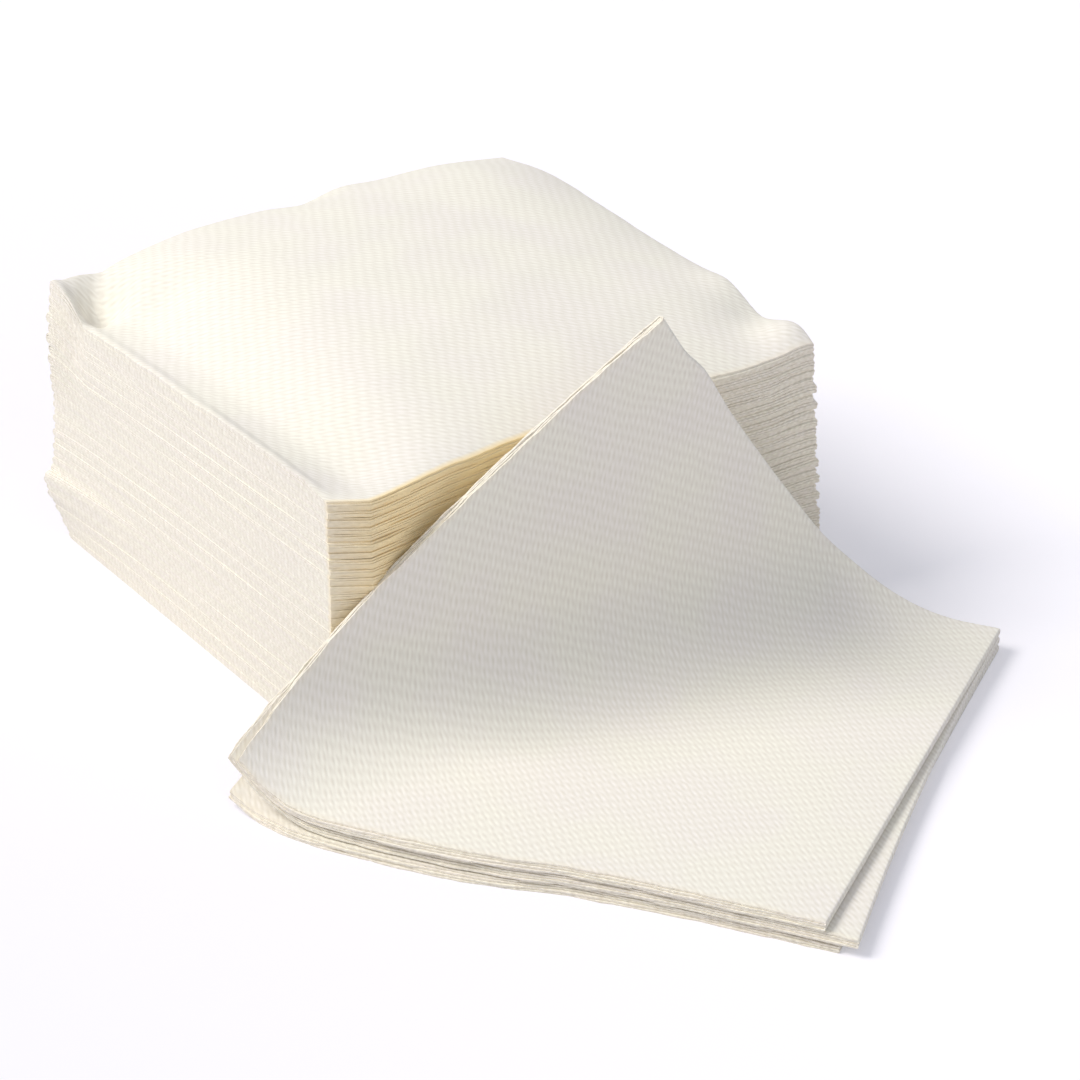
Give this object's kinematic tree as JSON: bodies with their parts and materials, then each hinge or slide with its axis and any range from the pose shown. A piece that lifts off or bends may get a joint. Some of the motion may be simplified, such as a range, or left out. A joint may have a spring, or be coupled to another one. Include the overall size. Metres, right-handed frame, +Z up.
{
  "type": "stack of paper napkins",
  "caption": "Square stack of soft quarter-folded paper napkins, higher at the folded corner, with a few more napkins lying in front and bent up against its side.",
  "frame": {"origin": "centre of the stack's base, on the table", "axes": "+Z up; +X along the front, towards the side with fold A; +Y from the front, where the leaning napkins rest, towards the side with fold B"},
  "size_m": [0.1723, 0.2424, 0.0872],
  "materials": {
    "napkin_paper": "matt, soft, embossed with a fine linen weave"
  },
  "bodies": {
    "root": {"napkin_01": "napkin_paper", "napkin_02": "napkin_paper", "napkin_03": "napkin_paper", "napkin_04": "napkin_paper", "napkin_05": "napkin_paper", "napkin_06": "napkin_paper", "napkin_07": "napkin_paper", "napkin_08": "napkin_paper", "napkin_09": "napkin_paper", "napkin_10": "napkin_paper", "napkin_11": "napkin_paper", "napkin_12": "napkin_paper", "napkin_13": "napkin_paper", "napkin_14": "napkin_paper", "napkin_15": "napkin_paper", "napkin_16": "napkin_paper", "napkin_17": "napkin_paper", "napkin_18": "napkin_paper", "napkin_19": "napkin_paper", "napkin_20": "napkin_paper", "napkin_21": "napkin_paper", "napkin_22": "napkin_paper", "napkin_23": "napkin_paper", "napkin_24": "napkin_paper", "napkin_25": "napkin_paper", "napkin_26": "napkin_paper", "napkin_27": "napkin_paper", "napkin_28": "napkin_paper", "napkin_29": "napkin_paper", "napkin_30": "napkin_paper", "napkin_31": "napkin_paper", "top_napkin": "napkin_paper", "leaning_napkin_bottom": "napkin_paper", "leaning_napkin_middle": "napkin_paper", "leaning_napkin_top": "napkin_paper"}
  },
  "joints": []
}
